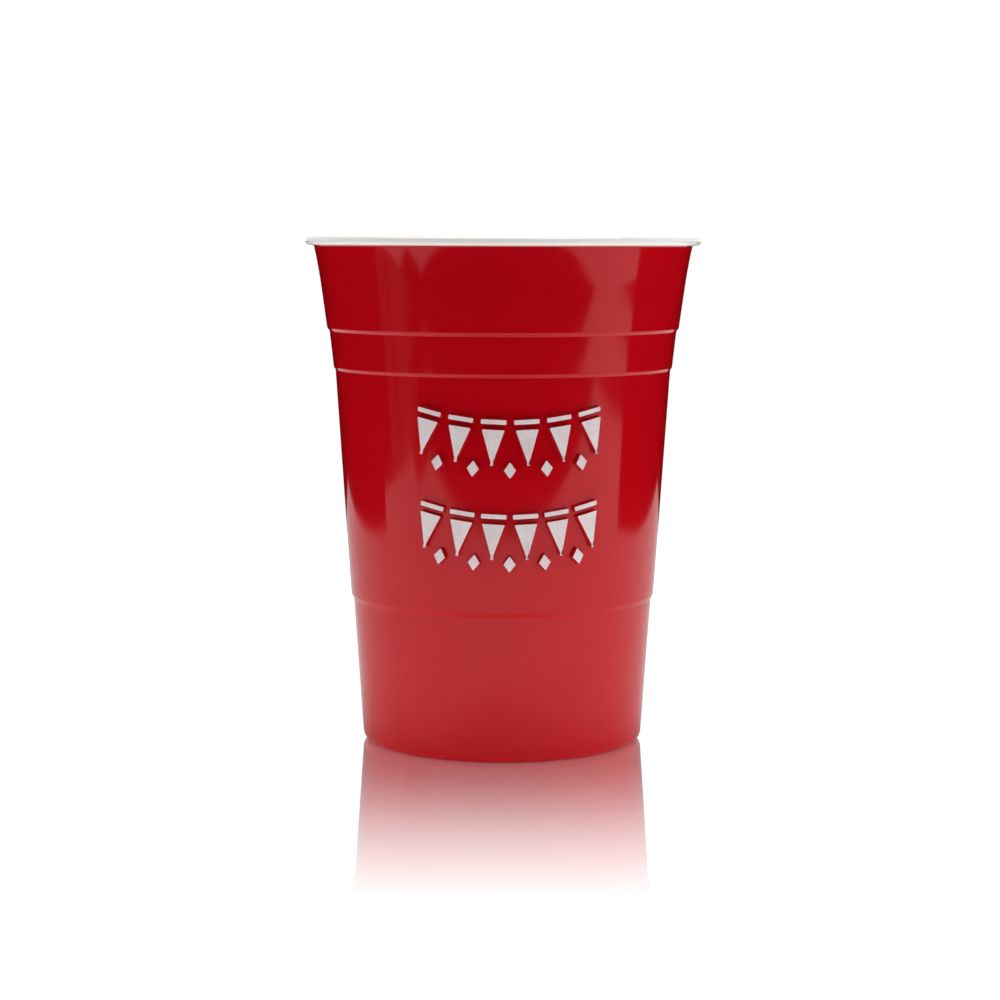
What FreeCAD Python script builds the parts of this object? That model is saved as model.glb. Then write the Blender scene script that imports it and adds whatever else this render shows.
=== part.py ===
import FreeCAD, Part
import math
import os

# Plastic party cup, injection moulded in one piece. A thin tapered wall with three
# shallow steps stands on a foot ring and flares out under a rounded lip. A pattern
# of garlands stands proud of the front. The axis is Z, the foot ring rests on z = 0
# and the pattern faces -Y. All lengths are in millimetres and angles in degrees.

# Overall size, wall and floor
HEIGHT = 120.7
WALL = 1.5
FLOOR = 1.6

# Foot: outer radius that the lower wall would have at z = 0, and its rounded edge
BASE_R = 33.42
BASE_EDGE_R = 2.25
FOOT_RING_WIDTH = 1.6
FOOT_RECESS = 1.8
FOOT_EDGE_R = 0.6
INSIDE_CORNER_R = 3.0

# Gate mark in the middle of the underside
GATE_R = 3.0
GATE_DEPTH = 0.4

# Steps of the wall: height of the upper corner, outer radius there, and depth
LOW_STEP_Z = 35.6
LOW_STEP_R = 36.42
LOW_STEP_DEPTH = 0.58
LOW_LEDGE_HEIGHT = 1.3
MIDDLE_STEP_Z = 89.87
MIDDLE_STEP_R = 40.42
MIDDLE_STEP_DEPTH = 0.42
TOP_STEP_Z = 99.15
TOP_STEP_R = 41.95
TOP_STEP_DEPTH = 0.55
LEDGE_HEIGHT = 0.6
LEDGE_FOOT_R = 0.3
LEDGE_CORNER_R = 0.8

# Flared mouth: outer radius under the lip, and the bend of the flare below it
MOUTH_R = 45.06
FLARE_BEND_DROP = 4.95
FLARE_BEND_R = 43.96
FLARE_CURVE_R = 100.0

# Lip: a rounded flange on top of the wall
LIP_HEIGHT = 2.05
LIP_OVERHANG = 2.0
LIP_SLOPE_RISE = 0.3
LIP_UNDER_R = 0.35
LIP_LOWER_R = 0.85
LIP_TIP_R = 0.7
LIP_INNER_R = 0.7

# Raised pattern: how far it stands proud, its drafted sides and its roots in the wall
RELIEF = 1.2
DRAFT = 0.3
ROOT = 0.9

# Two garlands of pennants, each hung in a swag, with diamonds between the tips
GARLANDS = 2
GARLAND_PITCH = 21.5
PATTERN_DROP = 6.1
SWAG = 3.0
PENNANTS = 6
PENNANT_PITCH = 7.0
PENNANT_WIDTH = 5.8
PENNANT_LENGTH = 9.4
TAPE_WIDTH = 6.2
TAPE_HEIGHT = 1.6
TAPE_GAP = 0.7
DIAMOND_WIDTH = 3.4
DIAMOND_HEIGHT = 4.8

UP = FreeCAD.Vector(0, 0, 1)
CENTRE = FreeCAD.Vector(0, 0, 0)
LEAST_TURN = math.radians(0.05)
MOST_TANGENT = 0.8


def rounded_corner(before, point, after, radius):
    """Start, middle and end of the arc that rounds a corner, or None if it is sharp."""
    back = before - point
    ahead = after - point
    turn = math.pi - back.getAngle(ahead)
    if radius <= 0 or turn < LEAST_TURN:
        return None
    shorter = min(back.Length, ahead.Length)
    tangent = min(radius * math.tan(turn / 2), MOST_TANGENT * shorter)
    fitted = tangent / math.tan(turn / 2)
    back.normalize()
    ahead.normalize()
    inward = back + ahead
    inward.normalize()
    middle = point + inward * (fitted / math.cos(turn / 2) - fitted)
    return point + back * tangent, middle, point + ahead * tangent


def rounded_edges(corners):
    """Open run of straight edges and tangent arcs. A corner is a point and a radius."""
    edges = []
    reached = corners[0][0]
    for index in range(1, len(corners) - 1):
        point, radius = corners[index]
        arc = rounded_corner(corners[index - 1][0], point, corners[index + 1][0], radius)
        start, middle, end = arc or (point, None, point)
        edges.append(Part.makeLine(reached, start))
        if arc:
            edges.append(Part.Arc(start, middle, end).toShape())
        reached = end
    edges.append(Part.makeLine(reached, corners[-1][0]))
    return edges


def at(radius, height):
    """Point of the section plane, at a distance from the axis and a height."""
    return FreeCAD.Vector(radius, 0, height)


def radius_on_line(low, high, height):
    """Radius where the straight line through two section points reaches a height."""
    share = (height - low.z) / (high.z - low.z)
    return low.x + share * (high.x - low.x)


def step_corners(height, radius, depth, ledge, inset):
    """Foot and upper corner of one step of the wall, moved in by inset."""
    foot = at(radius - depth - inset, height - ledge)
    corner = at(radius - inset, height)
    return [(foot, LEDGE_FOOT_R), (corner, LEDGE_CORNER_R)]


def wall_corners(inset):
    """Corners of the wall from the lowest step up to the flare, moved in by inset."""
    mouth_z = HEIGHT - LIP_HEIGHT
    corners = []
    for height, radius, depth, ledge in (
        (LOW_STEP_Z, LOW_STEP_R, LOW_STEP_DEPTH, LOW_LEDGE_HEIGHT),
        (MIDDLE_STEP_Z, MIDDLE_STEP_R, MIDDLE_STEP_DEPTH, LEDGE_HEIGHT),
        (TOP_STEP_Z, TOP_STEP_R, TOP_STEP_DEPTH, LEDGE_HEIGHT),
    ):
        corners += step_corners(height, radius, depth, ledge, inset)
    bend = at(FLARE_BEND_R - inset, mouth_z - FLARE_BEND_DROP)
    corners.append((bend, FLARE_CURVE_R))
    return corners


def foot_corners():
    """Underside: gate mark, recessed panel and foot ring, from the axis outwards."""
    ring_r = BASE_R - BASE_EDGE_R - FOOT_RING_WIDTH
    return [
        (at(0, FOOT_RECESS + GATE_DEPTH), 0),
        (at(GATE_R, FOOT_RECESS + GATE_DEPTH), 0),
        (at(GATE_R, FOOT_RECESS), 0),
        (at(ring_r, FOOT_RECESS), FOOT_EDGE_R),
        (at(ring_r, 0), 0),
        (at(BASE_R, 0), BASE_EDGE_R),
    ]


def lip_corners():
    """Lip from the outer wall, round its tip and over to the top of the inside."""
    mouth = at(MOUTH_R, HEIGHT - LIP_HEIGHT)
    bend = at(FLARE_BEND_R, mouth.z - FLARE_BEND_DROP)
    tip_r = MOUTH_R + LIP_OVERHANG
    inner_r = radius_on_line(bend, mouth, HEIGHT) - WALL
    return [
        (mouth, LIP_UNDER_R),
        (at(tip_r, mouth.z + LIP_SLOPE_RISE), LIP_LOWER_R),
        (at(tip_r, HEIGHT), LIP_TIP_R),
        (at(inner_r, HEIGHT), LIP_INNER_R),
    ]


def inside_corners():
    """Inside of the cup from the mouth down to the middle of its floor."""
    floor_z = FOOT_RECESS + FLOOR
    base = at(BASE_R, 0)
    step_foot = at(LOW_STEP_R - LOW_STEP_DEPTH, LOW_STEP_Z - LOW_LEDGE_HEIGHT)
    corner_r = radius_on_line(base, step_foot, floor_z) - WALL
    corners = wall_corners(WALL)
    corners.reverse()
    corners.append((at(corner_r, floor_z), INSIDE_CORNER_R))
    corners.append((at(0, floor_z), 0))
    return corners


def make_shell():
    """Body of the cup, turned from its section."""
    corners = foot_corners() + wall_corners(0) + lip_corners() + inside_corners()
    edges = rounded_edges(corners)
    edges.append(Part.makeLine(corners[-1][0], corners[0][0]))
    section = Part.Face(Part.Wire(edges))
    return section.revolve(CENTRE, UP, 360)


def panel_line():
    """Lower and upper end of the straight wall that carries the pattern."""
    low = at(LOW_STEP_R, LOW_STEP_Z)
    high = at(MIDDLE_STEP_R - MIDDLE_STEP_DEPTH, MIDDLE_STEP_Z - LEDGE_HEIGHT)
    return low, high


def inset_outline(points, distance):
    """Convex outline, anticlockwise, with each side moved inwards by a distance."""
    moved = []
    count = len(points)
    for index, (x, y) in enumerate(points):
        last_x, last_y = points[index - 1]
        next_x, next_y = points[(index + 1) % count]
        in_length = math.hypot(x - last_x, y - last_y)
        out_length = math.hypot(next_x - x, next_y - y)
        in_x, in_y = (x - last_x) / in_length, (y - last_y) / in_length
        out_x, out_y = (next_x - x) / out_length, (next_y - y) / out_length
        crossing = in_x * out_y - in_y * out_x
        moved.append((
            x + distance * (out_x - in_x) / crossing,
            y + distance * (out_y - in_y) / crossing,
        ))
    return moved


def placed_wire(points, centre, tilt, azimuth, radius):
    """Outline set upright at a radius, turned by tilt about its own centre."""
    outward = FreeCAD.Vector(math.sin(azimuth), -math.cos(azimuth), 0)
    across = FreeCAD.Vector(math.cos(azimuth), math.sin(azimuth), 0)
    origin = outward * radius + UP * centre
    corners = []
    for x, y in points:
        turned_x = x * math.cos(tilt) - y * math.sin(tilt)
        turned_y = x * math.sin(tilt) + y * math.cos(tilt)
        corners.append(origin + across * turned_x + UP * turned_y)
    return Part.makePolygon(corners + corners[:1])


def make_boss(points, along, centre, tilt):
    """One raised shape: along is its place round the wall and centre its height."""
    low, high = panel_line()
    wall_r = radius_on_line(low, high, centre)
    middle_r = (low.x + high.x) / 2
    azimuth = along / middle_r
    root_r = wall_r - ROOT
    crown_r = wall_r + 2 * RELIEF
    side_slope = DRAFT / RELIEF
    root_points = inset_outline(points, -ROOT * side_slope)
    crown_points = inset_outline(points, 2 * DRAFT)
    root = placed_wire(root_points, centre, tilt, azimuth, root_r)
    crown = placed_wire(crown_points, centre, tilt, azimuth, crown_r)
    prism = Part.makeLoft([root, crown], True, True)
    limit = Part.makeCone(low.x + RELIEF, high.x + RELIEF, high.z - low.z, at(0, low.z), UP)
    return prism.common(limit)


def tape_outline():
    """Short length of the tape that a pennant hangs from, about its own centre."""
    x = TAPE_WIDTH / 2
    y = TAPE_HEIGHT / 2
    return [(-x, -y), (x, -y), (x, y), (-x, y)]


def pennant_outline():
    """Triangular pennant with its point down, about the middle of its height."""
    x = PENNANT_WIDTH / 2
    y = PENNANT_LENGTH / 2
    return [(0, -y), (x, y), (-x, y)]


def diamond_outline():
    """Upright diamond about its own centre."""
    x = DIAMOND_WIDTH / 2
    y = DIAMOND_HEIGHT / 2
    return [(0, -y), (x, 0), (0, y), (-x, 0)]


def swag_height(along, half_width):
    """Height of the swag above its lowest point, and its slope as an angle."""
    share = along / half_width
    return SWAG * share * share, math.atan(2 * SWAG * share / half_width)


def make_hung(points, along, depth, top):
    """Boss whose centre hangs square below the swag, at a depth along its own tilt."""
    half_width = PENNANTS * PENNANT_PITCH / 2
    rise, tilt = swag_height(along, half_width)
    shifted = along + depth * math.sin(tilt)
    centre = top - SWAG + rise - depth * math.cos(tilt)
    return make_boss(points, shifted, centre, tilt)


def make_garland(top):
    """One garland: lengths of tape with a pennant each, and diamonds between the tips."""
    tape_depth = TAPE_HEIGHT / 2
    pennant_depth = TAPE_HEIGHT + TAPE_GAP + PENNANT_LENGTH / 2
    diamond_depth = TAPE_HEIGHT + TAPE_GAP + PENNANT_LENGTH
    bosses = []
    for index in range(PENNANTS):
        along = (index - (PENNANTS - 1) / 2) * PENNANT_PITCH
        bosses.append(make_hung(tape_outline(), along, tape_depth, top))
        bosses.append(make_hung(pennant_outline(), along, pennant_depth, top))
    for index in range(PENNANTS - 1):
        along = (index - (PENNANTS - 2) / 2) * PENNANT_PITCH
        bosses.append(make_hung(diamond_outline(), along, diamond_depth, top))
    return bosses


def make_pattern():
    """All raised shapes of the front, hung below the middle step."""
    first_top = MIDDLE_STEP_Z - LEDGE_HEIGHT - PATTERN_DROP
    bosses = []
    for index in range(GARLANDS):
        bosses += make_garland(first_top - index * GARLAND_PITCH)
    return bosses


def make_cup():
    """The whole cup as one solid."""
    return make_shell().fuse(make_pattern()).removeSplitter().Solids[0]


os.makedirs("parts", exist_ok=True)
make_cup().exportStep("parts/cup.step")
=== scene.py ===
import logging
import math
from dataclasses import dataclass
from enum import Enum
from typing import Any, Iterable, Optional, Union

import bmesh
import bpy
from mathutils import Matrix, Vector


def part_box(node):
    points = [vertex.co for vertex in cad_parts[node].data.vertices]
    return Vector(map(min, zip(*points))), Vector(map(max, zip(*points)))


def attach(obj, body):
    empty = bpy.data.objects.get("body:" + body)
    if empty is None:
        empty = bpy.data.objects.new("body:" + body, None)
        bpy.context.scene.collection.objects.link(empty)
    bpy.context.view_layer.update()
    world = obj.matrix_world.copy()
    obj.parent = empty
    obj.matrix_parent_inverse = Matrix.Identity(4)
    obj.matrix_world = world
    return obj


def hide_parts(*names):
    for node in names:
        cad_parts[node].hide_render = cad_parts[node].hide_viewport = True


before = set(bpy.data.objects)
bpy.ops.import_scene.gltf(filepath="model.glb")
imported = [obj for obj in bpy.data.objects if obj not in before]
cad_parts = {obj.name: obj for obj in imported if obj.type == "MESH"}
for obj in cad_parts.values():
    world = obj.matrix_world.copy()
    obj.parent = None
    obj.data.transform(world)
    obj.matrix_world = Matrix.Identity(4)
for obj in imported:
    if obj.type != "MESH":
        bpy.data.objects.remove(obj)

# A plastic party cup, moulded in one piece: red outside, white lip and inside, and raised shapes on the
# front whose tops carry white ink. The script works in metres with Z up, and the front faces -Y.

LOG = logging.getLogger("party_cup")
MM = 0.001
CUP_NODE = "cup"
BODY = "root"
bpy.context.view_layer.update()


def linear(hex_colour: str) -> tuple[float, float, float, float]:
    """Turn an sRGB hex colour into the linear RGBA that a shader reads.

    Args:
        hex_colour: six hex digits, with or without a leading hash.

    Returns:
        Linear red, green, blue and an alpha of 1.
    """
    digits = hex_colour.lstrip("#")
    channels = []
    for start in (0, 2, 4):
        value = int(digits[start:start + 2], 16) / 255
        channels.append(value / 12.92 if value <= 0.04045 else ((value + 0.055) / 1.055) ** 2.4)
    return channels[0], channels[1], channels[2], 1.0


def add_node(tree: bpy.types.NodeTree, kind: str, inputs: Optional[dict[Union[str, int], Any]] = None,
             **settings: Any) -> bpy.types.Node:
    """Add a shader node with its settings, values and links.

    Args:
        tree: node tree that takes the node.
        kind: type name of the node.
        inputs: a value or an output socket for each input, by name or number.
        settings: properties of the node itself.

    Returns:
        The new node.
    """
    node = tree.nodes.new(kind)
    for name, value in settings.items():
        setattr(node, name, value)
    for socket, value in (inputs or {}).items():
        if isinstance(value, bpy.types.NodeSocket):
            tree.links.new(value, node.inputs[socket])
        else:
            node.inputs[socket].default_value = value
    return node


def empty_material(name: str) -> bpy.types.Material:
    """Make a material whose node tree is empty."""
    material = bpy.data.materials.new(name)
    material.use_nodes = True
    material.node_tree.nodes.clear()
    return material


@dataclass(frozen=True)
class Plastic:
    """Moulded plastic, with its gloss, its surface ripple and a slight change of tone.

    The ripple is the orange peel that a polished steel mould leaves; it breaks up the edge of a
    reflection. The haze is where handling and cooling have dulled the polish a little.
    """

    name: str
    colour: str
    tone: str
    roughness: float
    haze: float
    ripple_mm: float
    ripple_height_mm: float
    haze_mm: float
    ior: float = 1.5
    gloss_tint: str = "#FFFFFF"
    subsurface: float = 0.0
    subsurface_mm: float = 0.0

    def build(self) -> bpy.types.Material:
        """Make the material.

        Returns:
            A material that reads Object coordinates.
        """
        material = empty_material(self.name)
        tree = material.node_tree
        place = add_node(tree, "ShaderNodeTexCoord").outputs["Object"]
        cloud = add_node(tree, "ShaderNodeTexNoise", {
            "Vector": place, "Scale": 1 / (self.haze_mm * MM), "Detail": 3.0, "Roughness": 0.55,
        })
        spread = add_node(tree, "ShaderNodeMapRange", {
            "Value": cloud.outputs["Fac"], "From Min": 0.3, "From Max": 0.7,
            "To Min": self.roughness - self.haze, "To Max": self.roughness + self.haze,
        })
        tone = add_node(tree, "ShaderNodeMix", {
            0: cloud.outputs["Fac"], 6: linear(self.colour), 7: linear(self.tone),
        }, data_type="RGBA")
        peel = add_node(tree, "ShaderNodeTexNoise", {
            "Vector": place, "Scale": 1 / (self.ripple_mm * MM), "Detail": 2.0,
        })
        bump = add_node(tree, "ShaderNodeBump", {
            "Height": peel.outputs["Fac"], "Distance": self.ripple_height_mm * MM, "Strength": 1.0,
        })
        shader = add_node(tree, "ShaderNodeBsdfPrincipled", {
            "Base Color": tone.outputs[2], "Roughness": spread.outputs["Result"],
            "Normal": bump.outputs["Normal"], "IOR": self.ior, "Specular Tint": linear(self.gloss_tint),
            "Subsurface Weight": self.subsurface, "Subsurface Scale": self.subsurface_mm * MM,
        })
        add_node(tree, "ShaderNodeOutputMaterial", {"Surface": shader.outputs[0]})
        return material


@dataclass(frozen=True)
class StampedInk:
    """Opaque ink stamped on plastic: satin, a little uneven in cover, with a fine grain."""

    name: str
    colour: str
    thin_colour: str
    roughness: float
    grain_mm: float
    cover_mm: float
    grain_height_mm: float

    def build(self) -> bpy.types.Material:
        """Make the material.

        Returns:
            A material that reads Object coordinates.
        """
        material = empty_material(self.name)
        tree = material.node_tree
        place = add_node(tree, "ShaderNodeTexCoord").outputs["Object"]
        grain = add_node(tree, "ShaderNodeTexNoise", {
            "Vector": place, "Scale": 1 / (self.grain_mm * MM), "Detail": 2.0,
        })
        cover = add_node(tree, "ShaderNodeTexNoise", {
            "Vector": place, "Scale": 1 / (self.cover_mm * MM), "Detail": 4.0,
        })
        mixed = add_node(tree, "ShaderNodeMath", {
            0: grain.outputs["Fac"], 1: cover.outputs["Fac"],
        }, operation="MULTIPLY")
        thinness = add_node(tree, "ShaderNodeMapRange", {
            "Value": mixed.outputs[0], "From Min": 0.15, "From Max": 0.4, "To Min": 1.0, "To Max": 0.0,
        })
        tone = add_node(tree, "ShaderNodeMix", {
            0: thinness.outputs["Result"], 6: linear(self.colour), 7: linear(self.thin_colour),
        }, data_type="RGBA")
        bump = add_node(tree, "ShaderNodeBump", {
            "Height": grain.outputs["Fac"], "Distance": self.grain_height_mm * MM, "Strength": 1.0,
        })
        shader = add_node(tree, "ShaderNodeBsdfPrincipled", {
            "Base Color": tone.outputs[2], "Roughness": self.roughness, "Normal": bump.outputs["Normal"],
        })
        add_node(tree, "ShaderNodeOutputMaterial", {"Surface": shader.outputs[0]})
        return material


# Polished red ABS: deep colour, a clear mirror of the set and almost no grain.
RED_PLASTIC = Plastic(
    name="moulded_abs_red", colour="#AA0410", tone="#B00613", roughness=0.085, haze=0.02,
    ripple_mm=2.6, ripple_height_mm=0.002, haze_mm=14.0, ior=1.7, gloss_tint="#FFCBCB",
)
# Polished white ABS: bright and soft edged, because light travels a little way into it.
WHITE_PLASTIC = Plastic(
    name="moulded_abs_white", colour="#E4E4E0", tone="#E8E8E5", roughness=0.16, haze=0.03,
    ripple_mm=2.6, ripple_height_mm=0.002, haze_mm=14.0, subsurface=0.15, subsurface_mm=1.2,
)
# White hot-stamped ink: satin off-white that shows a trace of the red under it.
WHITE_INK = StampedInk(
    name="stamped_ink_white", colour="#D6CDCE", thin_colour="#CABDBF", roughness=0.42,
    grain_mm=0.45, cover_mm=3.5, grain_height_mm=0.006,
)


@dataclass
class Corner:
    """Corner of the section: distance from the axis, height and rounding radius, all in mm."""

    r: float
    z: float
    rounding: float = 0.0


class Side(Enum):
    """Which face of the wall a run of the section follows."""

    OUTSIDE = "outside"
    INSIDE = "inside"


@dataclass
class CupSection:
    """Sizes of the turned section of the cup, in mm, as the CAD model has them."""

    height: float
    lip_r: float
    wall: float = 1.5
    floor: float = 1.6
    base_r: float = 33.42
    base_edge_r: float = 2.25
    foot_ring_width: float = 1.6
    foot_recess: float = 1.8
    foot_edge_r: float = 0.6
    inside_corner_r: float = 3.0
    gate_r: float = 3.0
    gate_depth: float = 0.4
    gate_edge_r: float = 0.15
    steps: tuple[tuple[float, float, float, float], ...] = (
        (35.6, 36.42, 0.58, 1.3), (89.87, 40.42, 0.42, 0.6), (99.15, 41.95, 0.55, 0.6),
    )
    ledge_foot_r: float = 0.3
    ledge_corner_r: float = 0.8
    mouth_r: float = 45.06
    flare_bend_drop: float = 4.95
    flare_bend_r: float = 43.96
    flare_curve_r: float = 100.0
    lip_height: float = 2.05
    lip_slope_rise: float = 0.3
    lip_under_r: float = 0.35
    lip_lower_r: float = 0.85
    seam_share: float = 0.15
    lip_tip_r: float = 0.7
    lip_inner_r: float = 0.7

    @property
    def mouth_z(self) -> float:
        """Height at which the wall meets the lip."""
        return self.height - self.lip_height

    def wall_run(self, side: Side) -> list[Corner]:
        """Corners of the wall from the lowest step up to the bend of the flare.

        Args:
            side: the face of the wall to follow.

        Returns:
            Corners from the bottom up.
        """
        inset = self.wall if side is Side.INSIDE else 0.0
        run = []
        for z, r, depth, ledge in self.steps:
            run.append(Corner(r - depth - inset, z - ledge, self.ledge_foot_r))
            run.append(Corner(r - inset, z, self.ledge_corner_r))
        bend_z = self.mouth_z - self.flare_bend_drop
        run.append(Corner(self.flare_bend_r - inset, bend_z, self.flare_curve_r))
        return run

    def seam(self) -> Corner:
        """Line under the lip where the red of the wall ends and the white of the lip begins."""
        share = self.seam_share
        return Corner(self.mouth_r + share * (self.lip_r - self.mouth_r),
                      self.mouth_z + share * self.lip_slope_rise)

    def red_run(self) -> list[Corner]:
        """Section of the red surface, from the middle of the underside up to the lip."""
        ring_r = self.base_r - self.base_edge_r - self.foot_ring_width
        gate_z = self.foot_recess + self.gate_depth
        underside = [
            Corner(0.0, gate_z),
            Corner(self.gate_r, gate_z, self.gate_edge_r),
            Corner(self.gate_r, self.foot_recess, self.gate_edge_r),
            Corner(ring_r, self.foot_recess, self.foot_edge_r),
            Corner(ring_r, 0.0, self.gate_edge_r),
            Corner(self.base_r, 0.0, self.base_edge_r),
        ]
        mouth = Corner(self.mouth_r, self.mouth_z, self.lip_under_r)
        return underside + self.wall_run(Side.OUTSIDE) + [mouth, self.seam()]

    def white_run(self) -> list[Corner]:
        """Section of the white surface, over the lip and down the inside to its middle."""
        flare_slope = (self.mouth_r - self.flare_bend_r) / self.flare_bend_drop
        inner_r = self.mouth_r + flare_slope * self.lip_height - self.wall
        floor_z = self.foot_recess + self.floor
        step_z, step_r, depth, ledge = self.steps[0]
        foot_slope = (step_r - depth - self.base_r) / (step_z - ledge)
        corner_r = self.base_r + foot_slope * floor_z - self.wall
        lip = [
            self.seam(),
            Corner(self.lip_r, self.mouth_z + self.lip_slope_rise, self.lip_lower_r),
            Corner(self.lip_r, self.height, self.lip_tip_r),
            Corner(inner_r, self.height, self.lip_inner_r),
        ]
        inside = list(reversed(self.wall_run(Side.INSIDE)))
        return lip + inside + [Corner(corner_r, floor_z, self.inside_corner_r), Corner(0.0, floor_z)]

    def panel_r(self, z: float) -> float:
        """Outer radius of the straight wall that carries the pattern, at a height."""
        low_z, low_r, _, _ = self.steps[0]
        step_z, step_r, depth, ledge = self.steps[1]
        high_z = step_z - ledge
        return low_r + (step_r - depth - low_r) * (z - low_z) / (high_z - low_z)

    def panel_middle_r(self) -> float:
        """Mean outer radius of the straight wall that carries the pattern."""
        _, low_r, _, _ = self.steps[0]
        _, step_r, depth, _ = self.steps[1]
        return (low_r + step_r - depth) / 2


def finish_piece(name: str, bm: bmesh.types.BMesh, materials: Iterable[bpy.types.Material],
                 sharp_deg: float) -> bpy.types.Object:
    """Turn a bmesh into a piece that stands for the cup's node.

    Args:
        name: name of the piece.
        bm: its mesh, which is freed.
        materials: one for each material index of its faces.
        sharp_deg: edges that turn by more than this stay sharp.

    Returns:
        The piece, riding on its body.
    """
    mesh = bpy.data.meshes.new(name)
    bm.to_mesh(mesh)
    bm.free()
    for polygon in mesh.polygons:
        polygon.use_smooth = True
    mesh.set_sharp_from_angle(angle=math.radians(sharp_deg))
    for material in materials:
        mesh.materials.append(material)
    piece = bpy.data.objects.new(name, mesh)
    bpy.context.scene.collection.objects.link(piece)
    even = piece.modifiers.new("even_shading", "WEIGHTED_NORMAL")
    even.keep_sharp = True
    even.weight = 50
    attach(piece, BODY)
    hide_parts(CUP_NODE)
    LOG.info("%s: %d faces", name, len(mesh.polygons))
    return piece


@dataclass
class CupBody:
    """The turned body of the cup: red wall and foot, white lip and inside."""

    section: CupSection
    turns: int = 224
    arc_segments: int = 7
    longest_mm: float = 2.2
    name: str = "cup_body"

    def draw_run(self, bm: bmesh.types.BMesh, corners: list[Corner]) -> list[bmesh.types.BMVert]:
        """Draw one run of the section with rounded corners and even spans.

        Args:
            bm: mesh that takes the run.
            corners: its corners in order.

        Returns:
            The vertices of the run.
        """
        before = set(bm.verts)
        points = [bm.verts.new((c.r * MM, 0.0, c.z * MM)) for c in corners]
        for start, end in zip(points, points[1:]):
            bm.edges.new((start, end))
        for index in range(1, len(corners) - 1):
            self.round_corner(bm, points, corners, index)
        run_edges = {e for v in bm.verts if v not in before for e in v.link_edges}
        for edge in sorted(run_edges, key=lambda e: e.calc_length(), reverse=True):
            cuts = int(edge.calc_length() / (self.longest_mm * MM))
            if cuts:
                bmesh.ops.subdivide_edges(bm, edges=[edge], cuts=cuts)
        return [v for v in bm.verts if v not in before]

    def round_corner(self, bm: bmesh.types.BMesh, points: list[bmesh.types.BMVert],
                     corners: list[Corner], index: int) -> None:
        """Bevel one corner of a run to its rounding radius.

        Args:
            bm: mesh that holds the run.
            points: the run's corner vertices.
            corners: the run's corners.
            index: the corner to round.
        """
        corner = corners[index]
        here = Vector((corner.r, corner.z))
        back = Vector((corners[index - 1].r, corners[index - 1].z)) - here
        ahead = Vector((corners[index + 1].r, corners[index + 1].z)) - here
        turn = math.pi - back.angle(ahead)
        if not corner.rounding or turn < math.radians(0.05):
            return
        tangent = corner.rounding * math.tan(turn / 2)
        bmesh.ops.bevel(bm, geom=[points[index]], offset=tangent * MM, offset_type="OFFSET",
                        affect="VERTICES", segments=self.arc_segments, profile=0.5, material=-1)

    def spin_run(self, corners: list[Corner], material: int) -> bpy.types.Mesh:
        """Turn one run of the section into a surface.

        Args:
            corners: the run's corners.
            material: material index of its faces.

        Returns:
            A mesh of the surface, which the caller joins and removes.
        """
        bm = bmesh.new()
        verts = self.draw_run(bm, corners)
        bmesh.ops.spin(bm, geom=verts + list(bm.edges), cent=(0, 0, 0), axis=(0, 0, 1), dvec=(0, 0, 0),
                       angle=math.tau, steps=self.turns, use_merge=True, use_duplicate=False)
        for face in bm.faces:
            face.material_index = material
        mesh = bpy.data.meshes.new("surface")
        bm.to_mesh(mesh)
        bm.free()
        return mesh

    def build(self) -> bpy.types.Object:
        """Model and dress the body.

        Returns:
            The piece.
        """
        bm = bmesh.new()
        for material, corners in enumerate((self.section.red_run(), self.section.white_run())):
            surface = self.spin_run(corners, material)
            bm.from_mesh(surface)
            bpy.data.meshes.remove(surface)
        bmesh.ops.remove_doubles(bm, verts=bm.verts, dist=0.002 * MM)
        bmesh.ops.recalc_face_normals(bm, faces=bm.faces)
        materials = [RED_PLASTIC.build(), WHITE_PLASTIC.build()]
        return finish_piece(self.name, bm, materials, 50.0)


class Motif(Enum):
    """Raised shapes of the pattern, by the number of their corners."""

    PENNANT = 3
    DIAMOND = 4
    TAPE = 5


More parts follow.
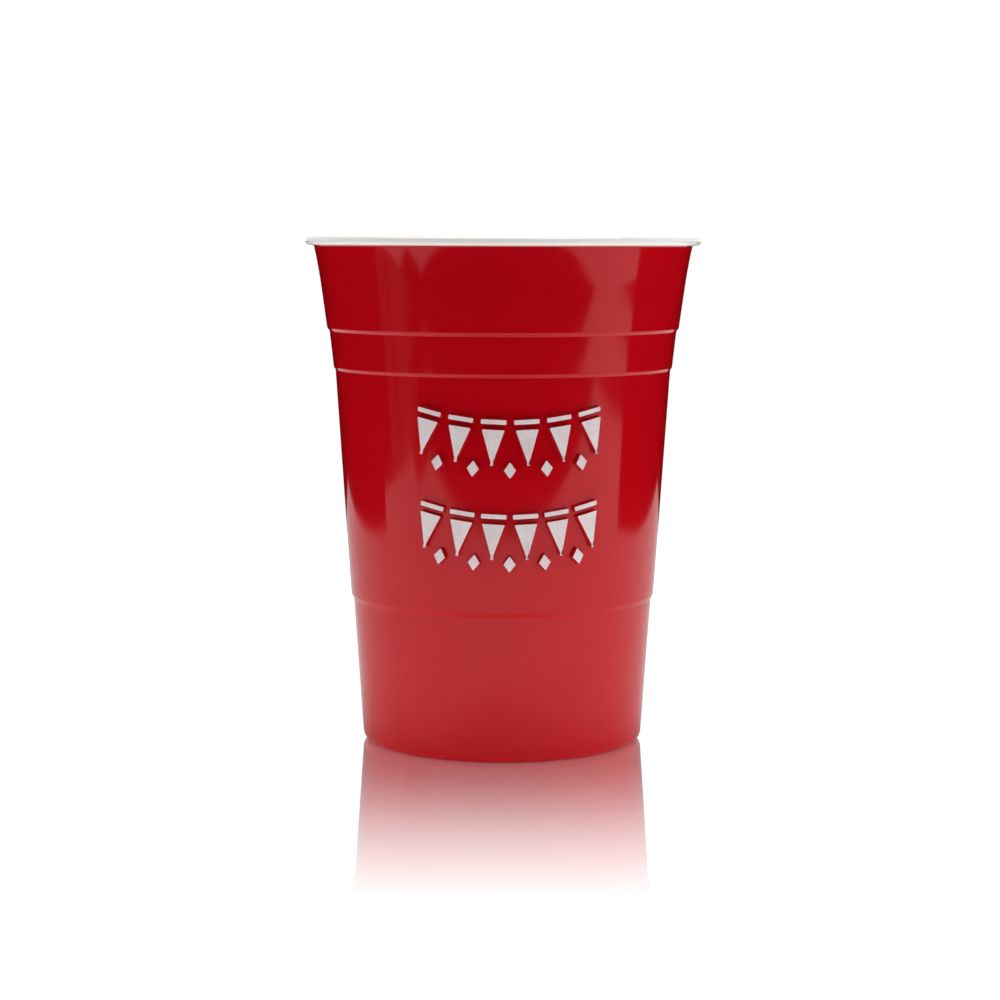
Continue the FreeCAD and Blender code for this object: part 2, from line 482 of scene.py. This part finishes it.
@dataclass
class GarlandPattern:
    """Two garlands of pennants on the front, with diamonds between the tips. Sizes in mm."""

    section: CupSection
    relief: float = 1.2
    draft: float = 0.3
    root: float = 0.4
    top_edge_r: float = 0.1
    outline_r: float = 0.5
    outline_segments: int = 6
    garlands: int = 2
    garland_pitch: float = 21.5
    pattern_drop: float = 6.1
    swag: float = 3.0
    pennants: int = 6
    pennant_pitch: float = 7.0
    pennant_size: tuple[float, float] = (5.8, 9.4)
    tape_size: tuple[float, float] = (6.2, 1.6)
    tape_gap: float = 0.7
    diamond_size: tuple[float, float] = (3.4, 4.8)
    facet_mm: float = 1.0
    name: str = "raised_pattern"

    def outline(self, bm: bmesh.types.BMesh, motif: Motif) -> None:
        """Draw the flat outline of one shape about its own centre, with rounded corners.

        Args:
            bm: empty mesh that takes the outline.
            motif: the shape.
        """
        width, length = {
            Motif.PENNANT: self.pennant_size, Motif.DIAMOND: self.diamond_size, Motif.TAPE: self.tape_size,
        }[motif]
        corners = 3 if motif is Motif.PENNANT else 4
        start = {Motif.PENNANT: -90.0, Motif.DIAMOND: 0.0, Motif.TAPE: 45.0}[motif]
        bmesh.ops.create_circle(bm, cap_ends=True, segments=corners, radius=1.0)
        bm.verts.ensure_lookup_table()
        first = math.degrees(math.atan2(bm.verts[0].co.y, bm.verts[0].co.x))
        turn = Matrix.Rotation(math.radians(start - first), 3, "Z")
        bmesh.ops.rotate(bm, verts=bm.verts, cent=(0, 0, 0), matrix=turn)
        xs = [v.co.x for v in bm.verts]
        ys = [v.co.y for v in bm.verts]
        middle = Vector(((min(xs) + max(xs)) / 2, (min(ys) + max(ys)) / 2, 0.0))
        bmesh.ops.translate(bm, verts=bm.verts, vec=-middle)
        scale = (width / (max(xs) - min(xs)), length / (max(ys) - min(ys)), 1.0)
        bmesh.ops.scale(bm, verts=bm.verts, vec=scale)
        tangents = []
        for vert in bm.verts:
            ways = [edge.other_vert(vert).co - vert.co for edge in vert.link_edges]
            tangents.append((vert, self.outline_r / math.tan(ways[0].angle(ways[1]) / 2)))
        for vert, tangent in tangents:
            bmesh.ops.bevel(bm, geom=[vert], offset=tangent, offset_type="OFFSET", affect="VERTICES",
                            segments=self.outline_segments, profile=0.5, material=-1)

    def block(self, motif: Motif) -> bmesh.types.BMesh:
        """Model one shape as a closed block with drafted sides, about its own centre.

        Args:
            motif: the shape.

        Returns:
            Its mesh, in mm, with the wall's surface at z = 0 and the ink on material index 1.
        """
        bm = bmesh.new()
        self.outline(bm, motif)
        bmesh.ops.recalc_face_normals(bm, faces=bm.faces)
        bm.faces.ensure_lookup_table()
        if bm.faces[0].normal.z < 0:
            bmesh.ops.reverse_faces(bm, faces=list(bm.faces))
        bmesh.ops.translate(bm, verts=bm.verts, vec=(0, 0, -self.root))
        raised = bmesh.ops.extrude_face_region(bm, geom=list(bm.faces), use_keep_orig=True)
        top = [item for item in raised["geom"] if isinstance(item, bmesh.types.BMFace)]
        bmesh.ops.translate(bm, verts=top[0].verts, vec=(0, 0, self.root))
        bmesh.ops.inset_individual(bm, faces=top, thickness=self.draft, depth=self.relief,
                                   use_even_offset=True)
        bmesh.ops.recalc_face_normals(bm, faces=bm.faces)
        bmesh.ops.bevel(bm, geom=list(top[0].edges), offset=self.top_edge_r, offset_type="OFFSET",
                        affect="EDGES", segments=3, profile=0.5, material=-1)
        for face in bm.faces:
            low = min(v.co.z for v in face.verts)
            face.material_index = 1 if low > self.relief - 0.7 * self.top_edge_r else 0
        return bm

    def slice_block(self, bm: bmesh.types.BMesh) -> None:
        """Cut a block along its own height so that it can follow the wall's curve."""
        reach = max(abs(v.co.x) for v in bm.verts)
        count = int(reach / self.facet_mm + 0.5)
        for step in range(-count, count):
            geometry = list(bm.verts) + list(bm.edges) + list(bm.faces)
            place = ((step + 0.5) * self.facet_mm, 0, 0)
            bmesh.ops.bisect_plane(bm, geom=geometry, dist=1e-4, plane_co=place, plane_no=(1, 0, 0))

    def place(self, target: bmesh.types.BMesh, motif: Motif, along: float, depth: float,
              top: float) -> None:
        """Add one shape, hung square below the swag and bent round the wall.

        Args:
            target: mesh of the whole pattern.
            motif: the shape.
            along: place of its tape round the wall.
            depth: distance of its centre below the swag.
            top: height of the garland's ends.
        """
        half_width = self.pennants * self.pennant_pitch / 2
        share = along / half_width
        tilt = math.atan(2 * self.swag * share / half_width)
        centre_z = top - self.swag + self.swag * share * share - depth * math.cos(tilt)
        azimuth = (along + depth * math.sin(tilt)) / self.section.panel_middle_r()
        bm = self.block(motif)
        self.slice_block(bm)
        bmesh.ops.rotate(bm, verts=bm.verts, cent=(0, 0, 0), matrix=Matrix.Rotation(tilt, 3, "Z"))
        centre_r = self.section.panel_r(centre_z)
        for vert in bm.verts:
            across, up, out = vert.co
            angle = azimuth + across / centre_r
            radius = self.section.panel_r(centre_z + up) + out
            vert.co = Vector((radius * math.sin(angle), -radius * math.cos(angle), centre_z + up)) * MM
        mesh = bpy.data.meshes.new("shape")
        bm.to_mesh(mesh)
        bm.free()
        target.from_mesh(mesh)
        bpy.data.meshes.remove(mesh)

    def hang_garland(self, target: bmesh.types.BMesh, top: float) -> None:
        """Add one garland.

        Args:
            target: mesh of the whole pattern.
            top: height of its ends.
        """
        tape_length = self.tape_size[1]
        pennant_length = self.pennant_size[1]
        for index in range(self.pennants):
            along = (index - (self.pennants - 1) / 2) * self.pennant_pitch
            self.place(target, Motif.TAPE, along, tape_length / 2, top)
            depth = tape_length + self.tape_gap + pennant_length / 2
            self.place(target, Motif.PENNANT, along, depth, top)
        for index in range(self.pennants - 1):
            along = (index - (self.pennants - 2) / 2) * self.pennant_pitch
            depth = tape_length + self.tape_gap + pennant_length
            self.place(target, Motif.DIAMOND, along, depth, top)

    def build(self, red: bpy.types.Material) -> bpy.types.Object:
        """Model and dress the pattern.

        Args:
            red: material of the wall, which the sides of the shapes share.

        Returns:
            The piece.
        """
        bm = bmesh.new()
        step_z, _, _, ledge = self.section.steps[1]
        first = step_z - ledge - self.pattern_drop
        for index in range(self.garlands):
            self.hang_garland(bm, first - index * self.garland_pitch)
        bmesh.ops.remove_doubles(bm, verts=bm.verts, dist=0.001 * MM)
        return finish_piece(self.name, bm, [red, WHITE_INK.build()], 12.0)


@dataclass
class Lamp:
    """One soft area lamp, aimed at the middle of the cup. Sizes and places in metres."""

    name: str
    place: tuple[float, float, float]
    size: tuple[float, float]
    power: float

    def build(self, turn: Matrix) -> None:
        """Add the lamp to the scene.

        Args:
            turn: turn of the whole set about the cup.
        """
        data = bpy.data.lights.new(self.name, "AREA")
        data.shape = "RECTANGLE"
        data.size, data.size_y = self.size
        data.energy = self.power
        lamp = bpy.data.objects.new(self.name, data)
        lamp.location = turn @ Vector(self.place)
        aim = Vector((0, 0, 0.06)) - lamp.location
        lamp.rotation_euler = aim.to_track_quat("-Z", "Y").to_euler()
        lamp.visible_glossy = False
        bpy.context.scene.collection.objects.link(lamp)


@dataclass
class Studio:
    """White table sheet, a floor painted dark round it as the room's shade, cards that glow for gloss only,
    soft lamps. Lengths in mm.
    """

    heading_deg: float
    sheet: tuple[float, float, float, float] = (-285.0, 285.0, -245.0, 420.0)
    floor_reach: float = 6000.0
    mirror_from: float = 33.0
    mirror_to: float = 186.0
    mirror_loss: float = 0.10
    mirror_power: float = 1.45
    floor_colour: str = "#F2F2F2"
    # Painted shade: the floor as the cup's gloss sees it, a darker copy of floor_colour.
    gloss_floor_shaded_colour: str = "#DCDCDC"
    # Painted shade: the near-black glow of the unlit room beyond the sheet.
    room_shade_colour: str = "#010101"
    right_wing: tuple[float, float, float, float] = (285.0, 500.0, -245.0, -15.0)
    left_wing: tuple[float, float, float, float] = (-355.0, -285.0, -175.0, -8.0)
    left_card: tuple[float, float, float] = (-370.0, -240.0, -60.0)
    overhead: tuple[float, float, float, float] = (-600.0, 600.0, -800.0, 500.0)
    overhead_height: float = 1000.0
    overhead_light: float = 5.5
    low_card_height: float = 39.0
    card_fade: float = 14.0
    # Painted shadow of the cup on the floor: where the darkening round the foot starts and ends, in mm, and
    # its lowest level.
    foot_shade: tuple[float, float, float] = (33.0, 100.0, 0.56)
    # Painted bounce light: strength of the glow the floor gives to diffuse rays.
    bounce: float = 0.82

    @property
    def turn(self) -> Matrix:
        """Turn of the whole set about the cup."""
        return Matrix.Rotation(math.radians(self.heading_deg), 4, "Z")

    def white_floor(self) -> bpy.types.Material:
        """Glossy white acrylic: shows white to the camera and mirrors the foot of the cup.

        Returns:
            The floor's material. The mirror fades with distance from the axis.
        """
        material = empty_material("gloss_acrylic_white")
        tree = material.node_tree
        place = add_node(tree, "ShaderNodeTexCoord").outputs["Object"]
        flat = add_node(tree, "ShaderNodeVectorMath", {0: place, 1: (0.5, 1, 0)}, operation="MULTIPLY")
        reach = add_node(tree, "ShaderNodeVectorMath", {0: flat.outputs[0]}, operation="LENGTH")
        share = add_node(tree, "ShaderNodeMapRange", {
            "Value": reach.outputs["Value"], "From Min": self.mirror_from * MM,
            "From Max": self.mirror_to * MM, "To Min": 0.0, "To Max": 1.0,
        })
        curve = add_node(tree, "ShaderNodeMath", {0: share.outputs["Result"], 1: self.mirror_power},
                         operation="POWER")
        loss = add_node(tree, "ShaderNodeMapRange", {
            "Value": curve.outputs[0], "To Min": self.mirror_loss, "To Max": 1.0,
        })
        # Painted shade round the foot: the floor gets darker towards the cup, as the cup's shadow, both in
        # what gloss sees and in the floor's glow.
        shade_from, shade_to, shade_low = self.foot_shade
        wide = add_node(tree, "ShaderNodeVectorMath", {0: place, 1: (2, 1, 0)}, operation="MULTIPLY")
        near = add_node(tree, "ShaderNodeVectorMath", {0: wide.outputs[0]}, operation="LENGTH")
        shade = add_node(tree, "ShaderNodeMapRange", {
            "Value": near.outputs["Value"], "From Min": shade_from * MM, "From Max": shade_to * MM,
            "To Min": shade_low, "To Max": 1.0,
        })
        # The floor's look in gloss, taken towards black by the painted shade round the foot.
        tone = add_node(tree, "ShaderNodeMix", {
            0: shade.outputs["Result"], 6: (0, 0, 0, 1), 7: linear(self.gloss_floor_shaded_colour),
        }, data_type="RGBA")
        ray = add_node(tree, "ShaderNodeLightPath")
        # The floor that gloss rays see, in the darker painted-shade copy of its colour.
        foot = add_node(tree, "ShaderNodeBsdfDiffuse", {"Color": tone.outputs[2]})
        mirror = add_node(tree, "ShaderNodeBsdfGlossy", {"Color": (1, 1, 1, 1), "Roughness": 0.02})
        matte = add_node(tree, "ShaderNodeBsdfDiffuse", {"Color": linear(self.floor_colour)})
        fill = add_node(tree, "ShaderNodeEmission", {"Color": (1, 1, 1, 1), "Strength": 0.55})
        bright = add_node(tree, "ShaderNodeAddShader", {0: matte.outputs[0], 1: fill.outputs[0]})
        seen = add_node(tree, "ShaderNodeMixShader", {
            0: loss.outputs["Result"], 1: mirror.outputs[0], 2: bright.outputs[0],
        })
        # Painted bounce light: the floor glows for diffuse rays, less under the painted shade near the foot.
        glow = add_node(tree, "ShaderNodeMath", {
            0: shade.outputs["Result"], 1: self.bounce,
        }, operation="MULTIPLY")
        bounce = add_node(tree, "ShaderNodeEmission", {"Color": (1, 1, 1, 1), "Strength": glow.outputs[0]})
        lit = add_node(tree, "ShaderNodeAddShader", {0: matte.outputs[0], 1: bounce.outputs[0]})
        unseen = add_node(tree, "ShaderNodeMixShader", {
            0: ray.outputs["Is Glossy Ray"], 1: lit.outputs[0], 2: foot.outputs[0],
        })
        surface = add_node(tree, "ShaderNodeMixShader", {
            0: ray.outputs["Is Camera Ray"], 1: unseen.outputs[0], 2: seen.outputs[0],
        })
        add_node(tree, "ShaderNodeOutputMaterial", {"Surface": surface.outputs[0]})
        return material

    def far_floor(self) -> bpy.types.Material:
        """Floor of the room beyond the sheet, painted dark as the room's shade for everything but the camera,
        which sees it as plain white.
        """
        material = empty_material("far_floor")
        tree = material.node_tree
        ray = add_node(tree, "ShaderNodeLightPath")
        white = add_node(tree, "ShaderNodeEmission", {"Color": (1, 1, 1, 1), "Strength": 1.0})
        # Painted shade of the unlit room, seen in gloss and by diffuse rays.
        dark = add_node(tree, "ShaderNodeEmission", {"Color": linear(self.room_shade_colour), "Strength": 1.0})
        surface = add_node(tree, "ShaderNodeMixShader", {
            0: ray.outputs["Is Camera Ray"], 1: dark.outputs[0], 2: white.outputs[0],
        })
        add_node(tree, "ShaderNodeOutputMaterial", {"Surface": surface.outputs[0]})
        return material

    def card_light(self, name: str, low: float, high: float, streak: float) -> bpy.types.Material:
        """Light of a side card: a bright low part, and faint folds of cloth above it.

        Args:
            name: name of the material.
            low: brightness of its foot, where 1 is white.
            high: brightness above the foot.
            streak: share by which the folds lower the brightness.

        Returns:
            A material that gives light only, and only to the first mirror it is seen in.
        """
        material = empty_material(name)
        tree = material.node_tree
        place = add_node(tree, "ShaderNodeTexCoord").outputs["Object"]
        upright = add_node(tree, "ShaderNodeVectorMath", {0: place, 1: (38, 38, 2)}, operation="MULTIPLY")
        folds = add_node(tree, "ShaderNodeTexNoise", {
            "Vector": upright.outputs[0], "Scale": 1.0, "Detail": 4.0, "Roughness": 0.7,
        })
        parts = add_node(tree, "ShaderNodeSeparateXYZ", {0: place})
        sway = add_node(tree, "ShaderNodeMath", {
            0: folds.outputs["Fac"], 1: self.card_fade * MM, 2: parts.outputs["Z"],
        }, operation="MULTIPLY_ADD")
        level = add_node(tree, "ShaderNodeMapRange", {
            "Value": sway.outputs[0], "From Min": (self.low_card_height - self.card_fade / 2) * MM,
            "From Max": (self.low_card_height + self.card_fade / 2) * MM, "To Min": low, "To Max": high,
        }, interpolation_type="SMOOTHSTEP")
        fold = add_node(tree, "ShaderNodeMapRange", {
            "Value": folds.outputs["Fac"], "From Min": 0.35, "From Max": 0.65,
            "To Min": 1 - streak, "To Max": 1.0,
        })
        strength = add_node(tree, "ShaderNodeMath", {
            0: level.outputs["Result"], 1: fold.outputs["Result"],
        }, operation="MULTIPLY")
        ray = add_node(tree, "ShaderNodeLightPath")
        first = add_node(tree, "ShaderNodeMath", {
            0: ray.outputs["Glossy Depth"], 1: 1.5,
        }, operation="LESS_THAN")
        shown = add_node(tree, "ShaderNodeMath", {
            0: strength.outputs[0], 1: first.outputs[0],
        }, operation="MULTIPLY")
        light = add_node(tree, "ShaderNodeEmission", {
            "Color": (1, 1, 1, 1), "Strength": shown.outputs[0],
        })
        add_node(tree, "ShaderNodeOutputMaterial", {"Surface": light.outputs[0]})
        return material

    def stage_piece(self, name: str, bm: bmesh.types.BMesh, material: bpy.types.Material) -> bpy.types.Object:
        """Turn a bmesh, in mm, into a part of the stage.

        Args:
            name: its name.
            bm: its mesh, which is freed.
            material: its material.

        Returns:
            The piece.
        """
        bmesh.ops.scale(bm, verts=bm.verts, vec=(MM, MM, MM))
        bmesh.ops.transform(bm, matrix=self.turn, verts=bm.verts)
        mesh = bpy.data.meshes.new(name)
        bm.to_mesh(mesh)
        bm.free()
        mesh.materials.append(material)
        piece = bpy.data.objects.new(name, mesh)
        bpy.context.scene.collection.objects.link(piece)
        return piece

    def level_sheet(self, name: str, corners: tuple[float, float, float, float], z: float,
                    material: bpy.types.Material) -> bpy.types.Object:
        """Lay a level sheet.

        Args:
            name: its name.
            corners: lowest x, highest x, lowest y and highest y.
            z: its height.
            material: its material.

        Returns:
            The sheet.
        """
        low_x, high_x, low_y, high_y = corners
        bm = bmesh.new()
        bmesh.ops.create_grid(bm, x_segments=1, y_segments=1, size=0.5)
        bmesh.ops.scale(bm, verts=bm.verts, vec=(high_x - low_x, high_y - low_y, 1))
        bmesh.ops.translate(bm, verts=bm.verts, vec=((low_x + high_x) / 2, (low_y + high_y) / 2, z))
        return self.stage_piece(name, bm, material)

    def show_in_gloss_only(self, piece: bpy.types.Object) -> None:
        """Hide a card from everything but the mirror of a glossy surface."""
        piece.visible_camera = False
        piece.visible_diffuse = False
        piece.visible_shadow = False

    def side_card(self, name: str, card: tuple[float, float, float], material: bpy.types.Material) -> None:
        """Stand a card along one side of the sheet.

        Args:
            name: its name.
            card: its x, lowest y and highest y.
            material: its material.
        """
        x, low_y, high_y = card
        height = 4 * self.low_card_height
        bm = bmesh.new()
        bmesh.ops.create_grid(bm, x_segments=1, y_segments=1, size=0.5)
        bmesh.ops.rotate(bm, verts=bm.verts, cent=(0, 0, 0), matrix=Matrix.Rotation(math.pi / 2, 3, "Y"))
        bmesh.ops.scale(bm, verts=bm.verts, vec=(1, high_y - low_y, height))
        bmesh.ops.translate(bm, verts=bm.verts, vec=(x, (low_y + high_y) / 2, height / 2))
        self.show_in_gloss_only(self.stage_piece(name, bm, material))

    def world(self) -> None:
        """White background to the camera and to gloss, and a soft fill for everything else."""
        world = bpy.data.worlds.new("white_room")
        bpy.context.scene.world = world
        world.use_nodes = True
        tree = world.node_tree
        tree.nodes.clear()
        ray = add_node(tree, "ShaderNodeLightPath")
        first = add_node(tree, "ShaderNodeMath", {
            0: ray.outputs["Glossy Depth"], 1: 1.5,
        }, operation="LESS_THAN")
        mirrored = add_node(tree, "ShaderNodeMath", {
            0: ray.outputs["Is Glossy Ray"], 1: first.outputs[0],
        }, operation="MULTIPLY")
        shown = add_node(tree, "ShaderNodeMath", {
            0: ray.outputs["Is Camera Ray"], 1: mirrored.outputs[0],
        }, operation="MAXIMUM")
        strength = add_node(tree, "ShaderNodeMapRange", {
            "Value": shown.outputs[0], "To Min": 0.25, "To Max": 1.0,
        })
        background = add_node(tree, "ShaderNodeBackground", {
            "Color": (1, 1, 1, 1), "Strength": strength.outputs["Result"],
        })
        add_node(tree, "ShaderNodeOutputWorld", {"Surface": background.outputs[0]})

    def lamps(self) -> None:
        """Hang the soft lamps."""
        for lamp in (
            Lamp("top_softbox", (0.0, 0.1, 1.0), (0.6, 0.6), 6.0),
            Lamp("front_softbox", (0.1, -1.5, 0.75), (1.4, 1.0), 0.75),
            Lamp("right_softbox", (1.1, -0.35, 0.4), (1.0, 0.9), 7.0),
            Lamp("left_softbox", (-1.1, -0.35, 0.4), (1.0, 0.9), 4.8),
        ):
            lamp.build(self.turn)

    def build(self) -> None:
        """Set the stage."""
        white = self.white_floor()
        self.level_sheet("white_sheet", self.sheet, 0.0, white)
        self.level_sheet("right_wing", self.right_wing, 0.0, white)
        self.level_sheet("left_wing", self.left_wing, 0.0, white)
        reach = self.floor_reach
        self.level_sheet("floor", (-reach, reach, -reach, reach), -1.0, self.far_floor())
        # Glowing cards that light nothing and show only in gloss: painted highlight sources, a dim one on the
        # left and a bright one overhead for the lip's top.
        self.side_card("left_card", self.left_card, self.card_light("cloth_dim_glow", 0.16, 0.12, 0.8))
        cloth = self.card_light("cloth_lit", self.overhead_light, self.overhead_light, 0.0)
        self.show_in_gloss_only(self.level_sheet("overhead_cloth", self.overhead, self.overhead_height, cloth))
        self.world()
        self.lamps()


@dataclass
class PhotoCamera:
    """Camera at the photograph's angle, found from the rings and outline of the cup."""

    distance_mm: float = 600.0
    height_mm: float = 120.6
    pitch_deg: float = 5.988
    azimuth_deg: float = -2.4
    yaw_deg: float = 0.0587
    roll_deg: float = 0.14
    focal_px: float = 2504.0
    frame_px: float = 1000.0
    sensor_mm: float = 36.0

    def build(self) -> bpy.types.Object:
        """Add the camera and make it the scene's own.

        Returns:
            The camera.
        """
        data = bpy.data.cameras.new("photo_camera")
        data.sensor_width = self.sensor_mm
        data.lens = self.focal_px / self.frame_px * self.sensor_mm
        data.clip_start = 0.01
        data.clip_end = 50.0
        camera = bpy.data.objects.new("photo_camera", data)
        azimuth = math.radians(self.azimuth_deg)
        distance = self.distance_mm * MM
        place = Matrix.Translation((distance * math.sin(azimuth), -distance * math.cos(azimuth),
                                    self.height_mm * MM))
        turn = Matrix.Rotation(azimuth + math.radians(self.yaw_deg), 4, "Z")
        look = Matrix.Rotation(math.radians(90 - self.pitch_deg), 4, "X")
        roll = Matrix.Rotation(math.radians(self.roll_deg), 4, "Z")
        camera.matrix_world = place @ turn @ look @ roll
        bpy.context.scene.collection.objects.link(camera)
        bpy.context.scene.camera = camera
        return camera


def main() -> None:
    """Build the cup and its stage, and report each piece."""
    logging.basicConfig(level=logging.INFO, format="%(name)s: %(message)s")
    bpy.context.scene.view_settings.view_transform = "Standard"
    low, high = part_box(CUP_NODE)
    section = CupSection(height=(high[2] - low[2]) / MM, lip_r=(high[0] - low[0]) / 2 / MM)
    body = CupBody(section).build()
    GarlandPattern(section).build(body.data.materials[0])
    camera = PhotoCamera()
    Studio(camera.azimuth_deg).build()
    camera.build()


if __name__ == "__main__":
    main()
